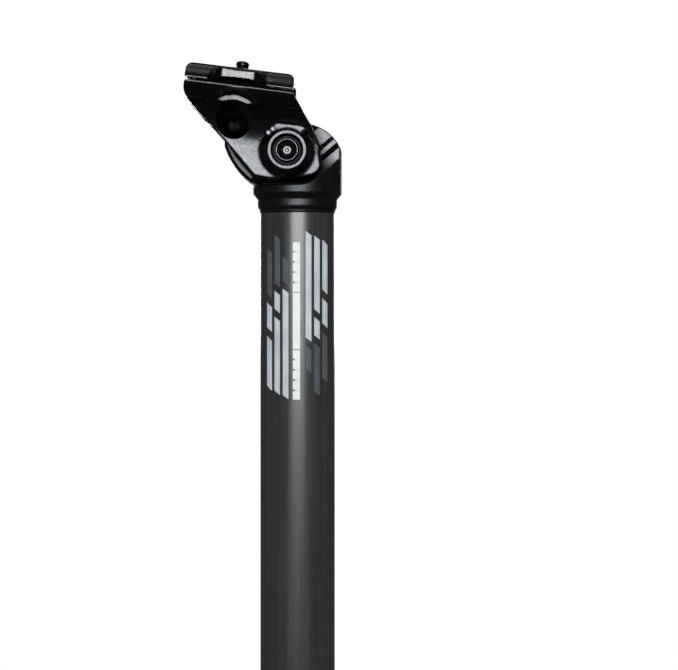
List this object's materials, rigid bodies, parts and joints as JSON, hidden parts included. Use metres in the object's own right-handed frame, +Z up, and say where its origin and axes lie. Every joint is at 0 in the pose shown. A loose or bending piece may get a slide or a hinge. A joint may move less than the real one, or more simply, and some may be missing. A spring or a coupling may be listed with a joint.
{
  "type": "bicycle seatpost",
  "caption": "Setback bicycle seatpost: a round tube with a forged head, a tilting cradle that clamps both saddle rails, and a pull-out battery sleeve in the tube's foot.",
  "frame": {"origin": "centre of the tube's lower end", "axes": "+Z up along the tube, +X towards the front of the bicycle, +Y to its left"},
  "size_m": [0.0566, 0.0566, 0.3757],
  "materials": {
    "tube_carbon": "clear-coated carbon fibre",
    "head_alloy": "bead-blasted black anodised",
    "clamp_alloy": "bead-blasted black anodised",
    "cone_steel": "ground",
    "bolt_steel": "black oxide",
    "bond": "cured adhesive",
    "adapter_plastic": "moulded",
    "sleeve_plastic": "moulded satin",
    "ring_rubber": "plain",
    "snap_steel": "spring wire"
  },
  "bodies": {
    "post": {"seat_tube": "tube_carbon", "post_head": "head_alloy", "head_bond": "bond", "battery_adapter": "adapter_plastic", "adapter_ring_upper": "ring_rubber", "adapter_ring_lower": "ring_rubber"},
    "cradle": {"lower_cradle": "clamp_alloy", "lock_cone_near": "cone_steel", "lock_cone_far": "cone_steel"},
    "cross_bolt": {"tilt_bolt": "bolt_steel", "tilt_washer": "bolt_steel"},
    "cross_nut": {"tilt_nut": "bolt_steel"},
    "rail_screw": {"rail_bolt": "bolt_steel", "rail_washer": "bolt_steel"},
    "clamp": {"upper_clamp": "clamp_alloy", "clamp_nut": "bolt_steel"},
    "sleeve": {"battery_sleeve": "sleeve_plastic", "snap_ring": "snap_steel"}
  },
  "joints": [
    {"name": "cradle_tilt", "type": "hinge", "parent": "post", "child": "cradle", "pos_m": [-0.0036, 0, 0.32738], "axis": [0, 1, 0], "range_deg": [-8, 14]},
    {"name": "cross_bolt_turn", "type": "hinge", "parent": "cradle", "child": "cross_bolt", "pos_m": [-0.0036, 0, 0.32738], "axis": [0, -1, 0], "range_deg": [0, 1080]},
    {"name": "cross_nut_travel", "type": "slide", "parent": "cradle", "child": "cross_nut", "axis": [0, 1, 0], "range_m": [0, 0.003]},
    {"name": "rail_bolt_turn", "type": "hinge", "parent": "cradle", "child": "rail_screw", "pos_m": [-0.02127, 0, 0.35], "axis": [-0.1219, 0, -0.9925], "range_deg": [0, 1800]},
    {"name": "clamp_lift", "type": "slide", "parent": "cradle", "child": "clamp", "axis": [0.1219, 0, 0.9925], "range_m": [0, 0.004]},
    {"name": "sleeve_pull", "type": "slide", "parent": "post", "child": "sleeve", "axis": [0, 0, -1], "range_m": [0, 0.036]}
  ],
  "couplings": [
    {"joint": "cross_bolt_turn", "follows": "cross_nut_travel", "rad_per_m": 6283.2},
    {"joint": "rail_bolt_turn", "follows": "clamp_lift", "rad_per_m": 7854}
  ]
}
